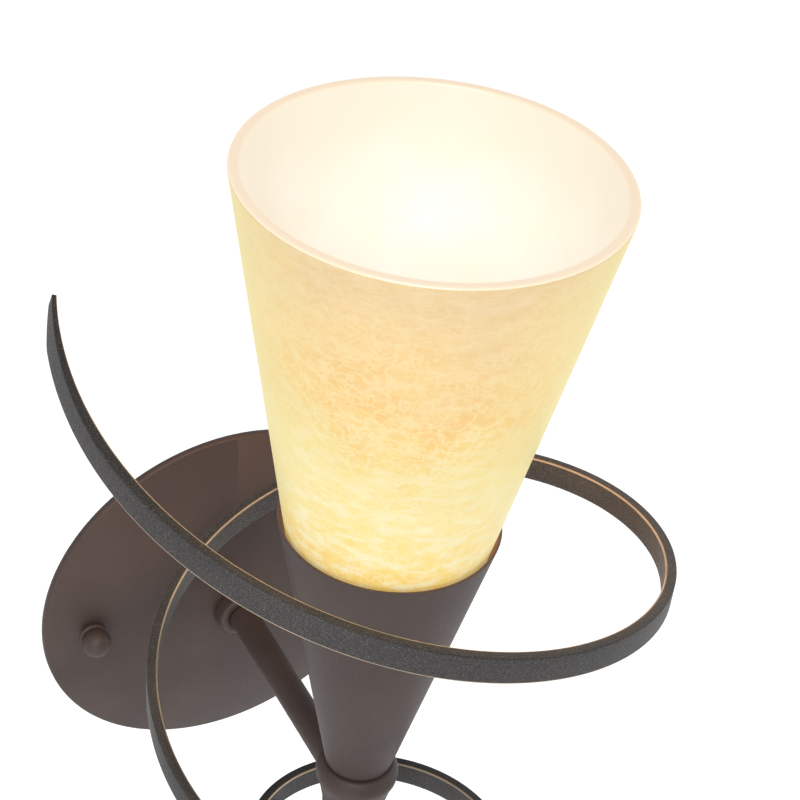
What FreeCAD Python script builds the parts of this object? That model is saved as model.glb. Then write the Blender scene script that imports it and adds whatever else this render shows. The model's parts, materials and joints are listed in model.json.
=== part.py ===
"""Torch sconce: a glass cone in a metal cup, held off a round wall canopy by one arm,
with a flat bar wound round it as a tapering left-hand spiral.

Millimetres.  The wall is the plane y = 0, the light stands in front of it towards -Y,
and +Z is up.  The origin is the centre of the canopy's back, level with the arm.
Heights are counted from the arm's axis, and the torch axis is vertical.
"""
import FreeCAD, Part

import math
import os

Vec = FreeCAD.Vector

# ---- Whole light -------------------------------------------------------------------
PROJECTION = 100.0          # wall to torch axis
RIM_Z = 215.0               # top edge of the glass
CUP_RIM_Z = 108.0
CUP_FOOT_Z = 15.0           # cup's underside, on the hub

# ---- Canopy, a 5 in domed wall plate -----------------------------------------------
CANOPY_R = 63.5
CANOPY_LIP = 2.0            # straight edge beside the wall
CANOPY_DEPTH = 12.0         # wall to the flat at the middle
CANOPY_FLAT_R = 10.0
CANOPY_WALL = 1.2
CANOPY_CENTRE_HOLE_R = 4.85
NUT_SPACING = 98.4          # 3 7/8 in between the two screws
SCREW_R = 2.05              # number 8 machine screw
SCREW_HOLE_R = 2.5
SCREW_CLEARANCE = 0.06      # round the screw in a ball nut
CAP_BALL_R = 4.75           # 3/8 in ball nut
CAP_NECK_R = 3.6
CAP_COLLAR_R = 4.4

# ---- Mounting crossbar -------------------------------------------------------------
BAR_LENGTH = 108.0
BAR_HEIGHT = 19.0
BAR_THICK = 2.0
BAR_CENTRE_HOLE_R = 5.2
BOX_SPACING = 69.85         # 2 3/4 in, the outlet box's ears
SLOT_LENGTH = 11.0
SLOT_R = 2.2
GROUND_X = 18.0

# ---- Arm ---------------------------------------------------------------------------
ARM_R = 4.75                # 3/8 in tube
ARM_BORE_R = 3.75
ARM_BACK_Y = -5.0
BOSS_R = 7.8
BOSS_LENGTH = 5.0

# ---- Hub, stem and finial below the cup --------------------------------------------
HUB_SHOULDER_R = 12.3
HUB_SHOULDER_Z = 10.5
HUB_FOOT_Z = -14.0
STEM_R = 5.0
STEM_FOOT_Z = -46.0
FINIAL_R = 7.5
WIREWAY_R = 3.4
LEAD_BEND_R = 6.0

# ---- Cup and nipple ----------------------------------------------------------------
CUP_RIM_R = 30.6
CUP_FOOT_R = 9.8
CUP_WALL = 0.8
NIPPLE_R = 5.0              # 1/8 IP pipe
NIPPLE_FOOT_Z = 6.0
NIPPLE_TOP_Z = 31.0

# ---- Glass cone --------------------------------------------------------------------
GLASS_RIM_R = 50.0
GLASS_FOOT_R = 26.8
GLASS_FOOT_Z = 96.0
GLASS_WALL = 3.0
GASKET_THICK = 1.5
SEAT_THICK = 1.0
SEAT_HOLE_R = 13.5

# ---- Candelabra lampholder and lamp ------------------------------------------------
HOLDER_R = 10.5
HOLDER_FOOT_Z = 35.0
HOLDER_TOP_Z = 84.0
SHELL_R = 6.8
SHELL_BORE_R = 6.2
SHELL_FOOT_Z = 63.0
CONTACT_TOP_Z = 63.9        # holder's centre contact
LAMP_BASE_R = 5.85
LAMP_BULB_R = 17.5
LAMP_BELLY_Z = 120.0
LAMP_TOP_Z = 166.0
LAMP_WALL = 0.8

# ---- Spiral bar --------------------------------------------------------------------
BAR_FACE = 8.0              # 5/16 x 1/8 in flat bar, standing on edge
BAR_SIDE = 3.0
SPIRAL_START_DEG = 157.5    # tip's bearing about the torch axis, 0 = +X
SPIRAL_STEPS_PER_TURN = 20
SPIRAL_TIP_TURN = 0.003     # where the bar starts on its route
TIP_TAPER_TURNS = 0.08      # its end is drawn down over this much of a turn
TIP_SIDE = 1.2              # thickness left at the tip
TIP_LEAN_DEG = 15.0         # lower edge swung outwards at the tip
TIP_SLANT_LENGTH = 9.0
TIP_BLUNT = 3.4
# (turns from the tip, radius, height): the cone narrows evenly for a turn and a half,
# then the bar levels out under the arm and curls in to the stem
SPIRAL_STATIONS = (
    (0.0, 90.7, 173.3),
    (0.5, 75.0, 101.7),
    (1.0, 61.7, 41.0),
    (1.5, 45.7, -18.5),
    (2.0, 28.0, -29.5),
    (2.5, 5.6, -38.0),
)
BRACE_R = 2.0
BRACE_TURN = 1.86           # where the brace meets the bar, in turns from the tip

TORCH = Vec(0.0, -PROJECTION, 0.0)
Z_AXIS = Vec(0, 0, 1)
Y_AXIS = Vec(0, 1, 0)


# ---- Helpers -----------------------------------------------------------------------
def polyline_wire(points):
    """Closed wire through the given points."""
    return Part.makePolygon(list(points) + [points[0]])


def turned(profile):
    """Solid of revolution about the torch axis from (radius, height) corners."""
    wire = polyline_wire([Vec(r, -PROJECTION, z) for r, z in profile])
    return Part.Face(wire).revolve(TORCH, Z_AXIS, 360)


def edges_face(edges):
    return Part.Face(Part.Wire(Part.__sortEdges__(edges)))


def arc(a, mid, b):
    return Part.Arc(a, mid, b).toShape()


def line(a, b):
    return Part.LineSegment(a, b).toShape()


def rod_y(radius, y_from, y_to, x=0.0, z=0.0):
    """Cylinder square to the wall between two depths."""
    low = min(y_from, y_to)
    return Part.makeCylinder(radius, abs(y_to - y_from), Vec(x, low, z), Y_AXIS)


def rod_z(radius, z_from, z_to, x=0.0, y=-PROJECTION):
    """Vertical cylinder, by default on the torch axis."""
    low = min(z_from, z_to)
    return Part.makeCylinder(radius, abs(z_to - z_from), Vec(x, y, low), Z_AXIS)


def hexagon(across_flats, thick, base, axis):
    """Hexagonal prism standing on base along axis (Y or Z)."""
    corner = across_flats / math.sqrt(3.0)
    points = []
    for k in range(6):
        a = math.radians(60.0 * k + 30.0)
        if axis == Z_AXIS:
            offset = Vec(corner * math.cos(a), corner * math.sin(a), 0)
        else:
            offset = Vec(corner * math.cos(a), 0, corner * math.sin(a))
        points.append(base + offset)
    return Part.Face(polyline_wire(points)).extrude(axis * thick)


def dome_y(radius):
    """Depth of the canopy's front surface at a radius, from the wall (a negative y)."""
    rise = CANOPY_DEPTH - CANOPY_LIP
    span = CANOPY_R ** 2 - CANOPY_FLAT_R ** 2
    return -(CANOPY_LIP + rise * (1.0 - (radius ** 2 - CANOPY_FLAT_R ** 2) / span))


def cup_outer_r(z):
    """Cup's outer radius at a height."""
    slope = (CUP_RIM_R - CUP_FOOT_R) / (CUP_RIM_Z - CUP_FOOT_Z)
    return CUP_FOOT_R + slope * (z - CUP_FOOT_Z)


def cup_inner_r(z):
    return cup_outer_r(z) - CUP_WALL


# ---- Wall side ---------------------------------------------------------------------
def canopy():
    """Spun dome with a straight lip, a flat middle and three holes."""
    mid_r = 0.5 * (CANOPY_R + CANOPY_FLAT_R)
    inner_r = CANOPY_R - CANOPY_WALL
    inner_mid = Vec(mid_r - 0.5 * CANOPY_WALL, dome_y(mid_r) + CANOPY_WALL, 0)
    outer = [Vec(CANOPY_R, 0, 0), Vec(CANOPY_R, -CANOPY_LIP, 0),
             Vec(mid_r, dome_y(mid_r), 0), Vec(CANOPY_FLAT_R, -CANOPY_DEPTH, 0)]
    inner_flat = Vec(CANOPY_FLAT_R, -CANOPY_DEPTH + CANOPY_WALL, 0)
    inner_lip = Vec(inner_r, -CANOPY_LIP + 0.4, 0)
    back = Vec(inner_r, 0, 0)
    axis_front = Vec(0, -CANOPY_DEPTH, 0)
    axis_back = Vec(0, -CANOPY_DEPTH + CANOPY_WALL, 0)
    section = edges_face([
        line(outer[0], outer[1]),
        arc(outer[1], outer[2], outer[3]),
        line(outer[3], axis_front),
        line(axis_front, axis_back),
        line(axis_back, inner_flat),
        arc(inner_flat, inner_mid, inner_lip),
        line(inner_lip, back),
        line(back, outer[0]),
    ])
    shell = section.revolve(Vec(0, 0, 0), Y_AXIS, 360)
    holes = [rod_y(CANOPY_CENTRE_HOLE_R, 0, -CANOPY_DEPTH - 1)]
    for side in (-1, 1):
        holes.append(rod_y(SCREW_HOLE_R, 0, -CANOPY_DEPTH - 1, side * NUT_SPACING / 2))
    return shell.cut(holes)


def slot(x, radius, length):
    """Cutter for a slot along X through the crossbar."""
    half = length / 2 - radius
    depth = BAR_THICK + 2
    ends = [rod_y(radius, 1, 1 - depth, x - half), rod_y(radius, 1, 1 - depth, x + half)]
    middle = Part.makeBox(2 * half, depth, 2 * radius, Vec(x - half, 1 - depth, -radius))
    return middle.fuse(ends)


def crossbar():
    """Steel strap on the outlet box, with slots for the box's ears and tapped holes."""
    blank = Part.makeBox(BAR_LENGTH, BAR_THICK, BAR_HEIGHT,
                         Vec(-BAR_LENGTH / 2, -BAR_THICK, -BAR_HEIGHT / 2))
    corners = [e for e in blank.Edges if abs(e.tangentAt(e.FirstParameter).y) > 0.9]
    blank = blank.makeFillet(3.0, corners)
    cuts = [rod_y(BAR_CENTRE_HOLE_R, 1, -BAR_THICK - 1), rod_y(2.4, 1, -BAR_THICK - 1, GROUND_X)]
    for side in (-1, 1):
        cuts.append(slot(side * BOX_SPACING / 2, SLOT_R, SLOT_LENGTH))
        cuts.append(rod_y(SCREW_R, 1, -BAR_THICK - 1, side * NUT_SPACING / 2))
    return blank.cut(cuts)


def screw_tip_y():
    """Front end of the two canopy screws, inside the ball nuts."""
    return cap_nut_seat_y() - 5.0


def canopy_screws():
    """Two screws standing out of the crossbar's tapped holes."""
    screws = []
    for side in (-1, 1):
        x = side * NUT_SPACING / 2
        screws.append(rod_y(SCREW_R, 0, screw_tip_y(), x))
    return Part.makeCompound(screws)


def cap_nut_seat_y():
    """Back of a ball nut: its collar's inner side is nearest to the sloping dome."""
    return dome_y(NUT_SPACING / 2 - CAP_COLLAR_R) - 0.35


def cap_nut(side):
    """Ball nut with a short collar, bored blind from the back."""
    x = side * NUT_SPACING / 2
    seat = cap_nut_seat_y()
    neck_y = seat - 1.2
    centre_y = neck_y - math.sqrt(CAP_BALL_R ** 2 - CAP_NECK_R ** 2)
    start = Vec(x + CAP_NECK_R, neck_y, 0)
    middle = Vec(x + CAP_BALL_R, centre_y, 0)
    pole = Vec(x, centre_y - CAP_BALL_R, 0)
    section = edges_face([
        line(Vec(x, seat, 0), Vec(x + CAP_COLLAR_R, seat, 0)),
        line(Vec(x + CAP_COLLAR_R, seat, 0), Vec(x + CAP_COLLAR_R, seat - 0.8, 0)),
        line(Vec(x + CAP_COLLAR_R, seat - 0.8, 0), start),
        arc(start, middle, pole),
        line(pole, Vec(x, seat, 0)),
    ])
    ball = section.revolve(Vec(x, 0, 0), Y_AXIS, 360)
    return ball.cut(rod_y(SCREW_R + SCREW_CLEARANCE, 0, screw_tip_y() - 0.8, x))


def ground_screw():
    """Hex head screw with its washer face, in the crossbar."""
    front = -BAR_THICK
    head = hexagon(7.0, 2.6, Vec(GROUND_X, front - 0.8 - 2.6, 0), Y_AXIS)
    flange = rod_y(4.6, front, front - 0.8, GROUND_X)
    shank = rod_y(2.4, 0, front, GROUND_X)
    return head.fuse([flange, shank])


# ---- Arm ---------------------------------------------------------------------------
def arm_tube():
    """Straight tube from behind the canopy into the hub."""
    end_y = -PROJECTION + NIPPLE_R
    tube = rod_y(ARM_R, ARM_BACK_Y, end_y)
    return tube.cut(rod_y(ARM_BORE_R, ARM_BACK_Y + 1, end_y - 1))


def arm_boss():
    """Short turned collar with a quarter-round shoulder, in front of the canopy."""
    back = -CANOPY_DEPTH
    front = back - BOSS_LENGTH
    shoulder = 2.6
    inset = shoulder * (1.0 - math.sqrt(0.5))
    start = Vec(BOSS_R, front + shoulder, 0)
    end = Vec(BOSS_R - shoulder, front, 0)
    bulge = Vec(BOSS_R - inset, front + inset, 0)
    section = edges_face([
        line(Vec(ARM_R, back, 0), Vec(BOSS_R, back, 0)),
        line(Vec(BOSS_R, back, 0), start),
        arc(start, bulge, end),
        line(end, Vec(ARM_R, front, 0)),
        line(Vec(ARM_R, front, 0), Vec(ARM_R, back, 0)),
    ])
    return section.revolve(Vec(0, 0, 0), Y_AXIS, 360)


def arm_washer():
    """Toothless lock washer behind the canopy."""
    front = -CANOPY_DEPTH + CANOPY_WALL
    return rod_y(8.0, front, front + 1.0).cut(rod_y(ARM_R, front - 1, front + 2))


def arm_nut():
    """Hex nut that pulls the arm's boss against the canopy."""
    front = -CANOPY_DEPTH + CANOPY_WALL + 1.0
    nut = hexagon(14.0, 3.5, Vec(0, front, 0), Y_AXIS)
    return nut.cut(rod_y(ARM_R, front - 1, front + 5))


# ---- Torch body --------------------------------------------------------------------
def hub():
    """Vase shaped collar under the cup, bored for the arm, the nipple and the leads."""
    seat_r = CUP_FOOT_R - 0.2
    lip_r = CUP_FOOT_R + 0.6
    top = Vec(lip_r, -PROJECTION, CUP_FOOT_Z)
    crown = Vec(HUB_SHOULDER_R - 0.55, -PROJECTION, HUB_SHOULDER_Z + 2.7)
    shoulder = Vec(HUB_SHOULDER_R, -PROJECTION, HUB_SHOULDER_Z)
    under = Vec(HUB_SHOULDER_R - 1.0, -PROJECTION, HUB_SHOULDER_Z - 3.0)
    waist = Vec(9.4, -PROJECTION, -1.0)
    foot = Vec(STEM_R + 1.4, -PROJECTION, HUB_FOOT_Z)
    belly = Vec(8.5, -PROJECTION, -8.0)
    axis_top = Vec(0, -PROJECTION, CUP_FOOT_Z)
    axis_foot = Vec(0, -PROJECTION, HUB_FOOT_Z)
    section = edges_face([
        line(axis_top, Vec(seat_r, -PROJECTION, CUP_FOOT_Z)),
        line(Vec(seat_r, -PROJECTION, CUP_FOOT_Z), top),
        arc(top, crown, shoulder),
        line(shoulder, under),
        line(under, waist),
        arc(waist, belly, foot),
        line(foot, axis_foot),
        line(axis_foot, axis_top),
    ])
    body = section.revolve(TORCH, Z_AXIS, 360)
    bores = [
        rod_z(NIPPLE_R, NIPPLE_FOOT_Z, CUP_FOOT_Z + 1),
        rod_z(WIREWAY_R, -WIREWAY_R, NIPPLE_FOOT_Z + 1),
        rod_y(ARM_R, -PROJECTION + NIPPLE_R, -PROJECTION + HUB_SHOULDER_R + 5),
        rod_y(WIREWAY_R, -PROJECTION - WIREWAY_R, -PROJECTION + NIPPLE_R + 1),
        rod_z(STEM_R - 1.5, HUB_FOOT_Z - 1, HUB_FOOT_Z + 8),
    ]
    return body.cut(bores)


def stem():
    """Rod under the hub: a spigot up into the hub and a threaded spigot for the finial."""
    rod = rod_z(STEM_R, STEM_FOOT_Z, HUB_FOOT_Z)
    upper = rod_z(STEM_R - 1.5, HUB_FOOT_Z, HUB_FOOT_Z + 8)
    lower = rod_z(STEM_R - 2.5, STEM_FOOT_Z - 6, STEM_FOOT_Z)
    return rod.fuse([upper, lower])


def bottom_finial():
    """Turned ball with a neck and a small tip."""
    neck_z = STEM_FOOT_Z - 2.0
    neck_r = 4.4
    drop = math.sqrt(FINIAL_R ** 2 - neck_r ** 2)
    centre_z = neck_z - 1.0 - drop
    tip_r = 2.0
    tip_z = centre_z - math.sqrt(FINIAL_R ** 2 - tip_r ** 2)
    end_r = 0.8
    end_z = tip_z - 2.2

    def at(r, z):
        return Vec(r, -PROJECTION, z)

    section = edges_face([
        line(at(0, STEM_FOOT_Z), at(STEM_R + 0.8, STEM_FOOT_Z)),
        line(at(STEM_R + 0.8, STEM_FOOT_Z), at(STEM_R + 0.8, neck_z + 0.4)),
        line(at(STEM_R + 0.8, neck_z + 0.4), at(neck_r, neck_z - 1.0)),
        arc(at(neck_r, neck_z - 1.0), at(FINIAL_R, centre_z), at(tip_r, tip_z)),
        arc(at(tip_r, tip_z), at(tip_r * 0.86, tip_z - 1.2), at(end_r, end_z)),
        line(at(end_r, end_z), at(0, end_z)),
        line(at(0, end_z), at(0, STEM_FOOT_Z)),
    ])
    ball = section.revolve(TORCH, Z_AXIS, 360)
    return ball.cut(rod_z(STEM_R - 2.5, STEM_FOOT_Z + 1, STEM_FOOT_Z - 6))


def nipple():
    """Threaded pipe that clamps the cup and carries the lampholder."""
    pipe = rod_z(NIPPLE_R, NIPPLE_FOOT_Z, NIPPLE_TOP_Z)
    return pipe.cut(rod_z(WIREWAY_R, NIPPLE_FOOT_Z - 1, NIPPLE_TOP_Z + 1))


def torch_cup():
    """Spun metal cone with a rounded foot and a hole for the nipple."""
    floor_z = CUP_FOOT_Z + CUP_WALL
    bend = 1.6

    def at(r, z):
        return Vec(r, -PROJECTION, z)

    foot_r = CUP_FOOT_R - bend
    side_z = CUP_FOOT_Z + bend
    knee = bend * (1 - math.sqrt(0.5))
    outer_low = at(cup_outer_r(side_z), side_z)
    inner_low = at(cup_inner_r(side_z), side_z)
    outer_knee = at(CUP_FOOT_R - knee + 0.15, CUP_FOOT_Z + knee)
    inner_knee = at(CUP_FOOT_R - knee - 0.45, floor_z + 0.22)
    section = edges_face([
        line(at(NIPPLE_R, CUP_FOOT_Z), at(foot_r, CUP_FOOT_Z)),
        arc(at(foot_r, CUP_FOOT_Z), outer_knee, outer_low),
        line(outer_low, at(CUP_RIM_R, CUP_RIM_Z)),
        line(at(CUP_RIM_R, CUP_RIM_Z), at(CUP_RIM_R - CUP_WALL, CUP_RIM_Z)),
        line(at(CUP_RIM_R - CUP_WALL, CUP_RIM_Z), inner_low),
        arc(inner_low, inner_knee, at(foot_r, floor_z)),
        line(at(foot_r, floor_z), at(NIPPLE_R, floor_z)),
        line(at(NIPPLE_R, floor_z), at(NIPPLE_R, CUP_FOOT_Z)),
    ])
    return section.revolve(TORCH, Z_AXIS, 360)


def cup_washer():
    low = CUP_FOOT_Z + CUP_WALL
    return rod_z(7.2, low, low + 1.0).cut(rod_z(NIPPLE_R, low - 1, low + 2))


def cup_nut():
    """Hex nut on the nipple, inside the cup."""
    low = CUP_FOOT_Z + CUP_WALL + 1.0
    nut = hexagon(14.0, 3.5, Vec(0, -PROJECTION, low), Z_AXIS)
    return nut.cut(rod_z(NIPPLE_R, low - 1, low + 5))


def shade_seat():
    """Pressed ring inside the cup that carries the glass, with vent holes."""
    top = GLASS_FOOT_Z - GASKET_THICK
    low = top - SEAT_THICK
    turn_up = 3.0
    ring = turned([
        (SEAT_HOLE_R, top), (SEAT_HOLE_R, low - turn_up), (SEAT_HOLE_R + SEAT_THICK, low - turn_up),
        (SEAT_HOLE_R + SEAT_THICK, low), (cup_inner_r(low), low), (cup_inner_r(top), top),
    ])
    vents = []
    for k in range(8):
        a = math.radians(45.0 * k + 22.5)
        vents.append(rod_z(2.2, low - 1, top + 1, 18.8 * math.cos(a),
                           -PROJECTION + 18.8 * math.sin(a)))
    return ring.cut(vents)


def shade_gasket():
    """Heat-proof ring under the glass."""
    low = GLASS_FOOT_Z - GASKET_THICK
    outer = cup_inner_r(low)
    return turned([(22.6, low), (outer, low), (outer, low + 0.1), (outer - 0.1, GLASS_FOOT_Z),
                   (22.6, GLASS_FOOT_Z)])


def glass_shade():
    """Open cone of cast alabaster glass with a ground and rounded top edge."""
    ease = 1.0

    def at(r, z):
        return Vec(r, -PROJECTION, z)

    inner_rim_r = GLASS_RIM_R - GLASS_WALL
    inner_foot_r = GLASS_FOOT_R - GLASS_WALL
    slope = (GLASS_RIM_R - GLASS_FOOT_R) / (RIM_Z - GLASS_FOOT_Z)
    outer_top = at(GLASS_RIM_R - slope * ease, RIM_Z - ease)
    inner_top = at(inner_rim_r - slope * ease, RIM_Z - ease)
    outer_foot = at(GLASS_FOOT_R, GLASS_FOOT_Z)
    inner_foot = at(inner_foot_r, GLASS_FOOT_Z)
    outer_flat = at(GLASS_RIM_R - ease, RIM_Z)
    inner_flat = at(inner_rim_r + ease, RIM_Z)
    section = edges_face([
        line(outer_foot, outer_top),
        arc(outer_top, at(GLASS_RIM_R - 0.35, RIM_Z - 0.3), outer_flat),
        line(outer_flat, inner_flat),
        arc(inner_flat, at(inner_rim_r + 0.25, RIM_Z - 0.3), inner_top),
        line(inner_top, inner_foot),
        line(inner_foot, outer_foot),
    ])
    return section.revolve(TORCH, Z_AXIS, 360)


# ---- Lampholder and lamp -----------------------------------------------------------
def holder_cap():
    """Metal cap screwed on the nipple, with a wall round the lampholder's foot."""
    low = HOLDER_FOOT_Z - 6.0
    wall_r = HOLDER_R + 0.7
    return turned([
        (NIPPLE_R, low - 3), (NIPPLE_R + 2, low - 3), (NIPPLE_R + 2, low), (wall_r, low),
        (wall_r, HOLDER_FOOT_Z + 6), (HOLDER_R, HOLDER_FOOT_Z + 6), (HOLDER_R, low + 0.8),
        (NIPPLE_R, low + 0.8),
    ])


def holder_body():
    """Moulded lampholder, bored for the screw shell, the contact and the leads."""
    body = turned([
        (0, HOLDER_FOOT_Z), (HOLDER_R, HOLDER_FOOT_Z), (HOLDER_R, HOLDER_TOP_Z - 2),
        (HOLDER_R - 1, HOLDER_TOP_Z - 1), (HOLDER_R - 1, HOLDER_TOP_Z), (0, HOLDER_TOP_Z),
    ])
    cuts = [rod_z(SHELL_R, SHELL_FOOT_Z - 2, HOLDER_TOP_Z + 1)]
    for side in (-1, 1):
        cuts.append(rod_z(1.1, HOLDER_FOOT_Z - 1, HOLDER_FOOT_Z + 4, side * 1.3))
    for side in (-1, 1):
        recess = Part.makeBox(6, 3, 16, Vec(-3, -PROJECTION + side * (HOLDER_R - 0.5) - 1.5, 44))
        cuts.append(recess)
    return body.cut(cuts)


def holder_shell():
    """Brass screw shell."""
    return rod_z(SHELL_R, SHELL_FOOT_Z, HOLDER_TOP_Z - 2).cut(
        rod_z(SHELL_BORE_R, SHELL_FOOT_Z - 1, HOLDER_TOP_Z))


def holder_contact():
    """Springy centre contact on the floor of the holder's bore."""
    floor_z = SHELL_FOOT_Z - 2
    foot = rod_z(4.0, floor_z, floor_z + 0.6)
    button = turned([(0, floor_z + 0.6), (2.6, floor_z + 0.6), (1.6, CONTACT_TOP_Z),
                     (0, CONTACT_TOP_Z)])
    return foot.fuse(button)


def lamp_edges(inset):
    """Edges of the bulb's half section, drawn in by inset, from the neck to the axis."""
    belly_r = LAMP_BULB_R - inset

    def at(r, z):
        return Vec(r, -PROJECTION, z)

    def from_belly(r, z):
        """Arc that leaves the belly upright and ends at a radius and height."""
        drop, rise = belly_r - r, z - LAMP_BELLY_Z
        bend_r = (drop ** 2 + rise ** 2) / (2.0 * drop)
        half = 0.5 * math.asin(rise / bend_r)
        middle = at(belly_r - bend_r * (1.0 - math.cos(half)), LAMP_BELLY_Z + bend_r * math.sin(half))
        return arc(at(belly_r, LAMP_BELLY_Z), middle, at(r, z))

    tip_r, tip_z = 2.4 - inset, LAMP_TOP_Z - 2.6 - inset
    end = at(0.7, LAMP_TOP_Z - inset)
    return [from_belly(5.4 - inset, HOLDER_TOP_Z - 1.0), from_belly(tip_r, tip_z),
            arc(at(tip_r, tip_z), at(0.68 * tip_r, LAMP_TOP_Z - 0.8 - inset), end),
            line(end, at(0, end.z))]


def lamp_envelope():
    """Candle shaped glass bulb, open at the neck where the base closes it."""
    outer = lamp_edges(0.0)
    inner = lamp_edges(LAMP_WALL)
    neck = line(outer[0].Vertexes[-1].Point, inner[0].Vertexes[-1].Point)
    pole = line(Vec(0, -PROJECTION, LAMP_TOP_Z), Vec(0, -PROJECTION, LAMP_TOP_Z - LAMP_WALL))
    return edges_face(outer + inner + [neck, pole]).revolve(TORCH, Z_AXIS, 360)


def lamp_base():
    """Candelabra screw base, closed below round the insulator."""
    top = HOLDER_TOP_Z - 1.0
    low = SHELL_FOOT_Z + 3.0
    return turned([
        (0, top), (LAMP_BASE_R, top), (LAMP_BASE_R, low + 1), (LAMP_BASE_R - 1.5, low - 0.6),
        (2.4, low - 0.6), (2.4, low + 2), (0, low + 2),
    ])


def lamp_contact():
    """Centre contact of the lamp, standing out of the base."""
    top = SHELL_FOOT_Z + 5.0
    low = CONTACT_TOP_Z + 0.3
    return turned([(0, top), (2.4, top), (2.4, low + 1.0), (1.5, low), (0, low)])


def lamp_mount():
    """Glass stem inside the bulb, standing on the base."""
    foot = HOLDER_TOP_Z - 1.0
    return turned([(0, foot), (3.2, foot), (2.4, 96), (1.4, 104), (0, 105)])


def lamp_filament():
    """Upright filament tube on top of the stem."""
    return turned([(0, 105), (0.8, 105), (0.8, 133), (0.3, 134), (0, 134)])


# ---- Leads -------------------------------------------------------------------------
def lead(side):
    """One insulated lead: along the arm, round one bend in the hub, up the nipple."""
    x = side * 1.3
    radius = 1.1
    start = Vec(x, -0.5, 0)
    bend_in = Vec(x, -PROJECTION + LEAD_BEND_R, 0)
    half = LEAD_BEND_R * math.sqrt(0.5)
    bend_mid = Vec(x, -PROJECTION + LEAD_BEND_R - half, LEAD_BEND_R - half)
    bend_out = Vec(x, -PROJECTION, LEAD_BEND_R)
    end = Vec(x, -PROJECTION, HOLDER_FOOT_Z + 4)
    path = Part.Wire([line(start, bend_in), arc(bend_in, bend_mid, bend_out),
                      line(bend_out, end)])
    section = Part.Wire([Part.Circle(start, Y_AXIS, radius).toShape()])
    return path.makePipeShell([section], True, False)


# ---- Spiral ------------------------------------------------------------------------
def spiral_route():
    """Smooth curve of (turns, radius, height) through the stations."""
    points = [Vec(turns, r, z) for turns, r, z in SPIRAL_STATIONS]
    route = Part.BSplineCurve()
    route.interpolate(Points=points, Parameters=[p.x for p in points])
    return route


def spiral_point(route, turns):
    """Centre of the bar at a place along the route."""
    place = route.value(turns)
    a = math.radians(SPIRAL_START_DEG + 360.0 * turns)
    return Vec(place.y * math.cos(a), -PROJECTION + place.y * math.sin(a), place.z)


def spiral_outward(route, turns):
    """Level direction square to the bar's face, away from the torch axis."""
    step = 0.002
    last = SPIRAL_STATIONS[-1][0]
    ahead = spiral_point(route, min(turns + step, last))
    behind = spiral_point(route, max(turns - step, 0.0))
    along = ahead - behind
    out = Vec(along.y, -along.x, 0)
    out.normalize()
    return out


def bar_section(route, turns):
    """Upright rectangle across the bar.  It gets thinner and leans towards the tip."""
    taper = max(0.0, 1.0 - (turns - SPIRAL_TIP_TURN) / TIP_TAPER_TURNS)
    side = BAR_SIDE - (BAR_SIDE - TIP_SIDE) * taper
    lean = math.radians(TIP_LEAN_DEG) * taper
    centre = spiral_point(route, turns)
    level = spiral_outward(route, turns)
    out = (level * math.cos(lean) + Z_AXIS * math.sin(lean)) * (side / 2)
    up = (Z_AXIS * math.cos(lean) - level * math.sin(lean)) * (BAR_FACE / 2)
    return polyline_wire([centre + out - up, centre + out + up,
                          centre - out + up, centre - out - up])


def spiral_bar():
    """Flat bar standing on edge, wound as a narrowing left-hand spiral."""
    route = spiral_route()
    step = 1.0 / SPIRAL_STEPS_PER_TURN
    places = [SPIRAL_TIP_TURN + TIP_TAPER_TURNS * k / 4 for k in range(5)]
    count = int(round(SPIRAL_STATIONS[-1][0] / step))
    places += [k * step for k in range(2, count + 1)]
    bar = Part.makeLoft([bar_section(route, turns) for turns in places], True, False)
    return bar.cut(tip_cutter(route))


def tip_cutter(route):
    """Wedge that takes the lower corner off the bar's free end."""
    tip = spiral_point(route, SPIRAL_TIP_TURN)
    along = spiral_point(route, SPIRAL_TIP_TURN + 0.01) - tip
    along.normalize()
    out = spiral_outward(route, SPIRAL_TIP_TURN)
    low = tip - Z_AXIS * (BAR_FACE / 2)
    top = low + Z_AXIS * (BAR_FACE - TIP_BLUNT)
    back = low - along * 4
    lower_back = back - Z_AXIS * 6
    far = low + along * TIP_SLANT_LENGTH
    lower_far = far - Z_AXIS * 6
    wedge = Part.Face(polyline_wire([top - along * 4 + Z_AXIS * 3, top, far, lower_far, lower_back]))
    wedge.translate(out * -4.0)
    return wedge.extrude(out * 8.0)


def spiral_brace():
    """Round rod from the bar's level turn down to the foot of the stem."""
    route = spiral_route()
    place = spiral_point(route, BRACE_TURN)
    outer = place - Z_AXIS * (BAR_FACE / 2 - 1.0)
    inward = Vec(-place.x, -PROJECTION - place.y, 0)
    inward.normalize()
    foot = Vec(0, -PROJECTION, STEM_FOOT_Z + 4.0) - inward * (STEM_R - 1.0)
    axis = foot - outer
    return Part.makeCylinder(BRACE_R, axis.Length, outer, axis)


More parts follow.
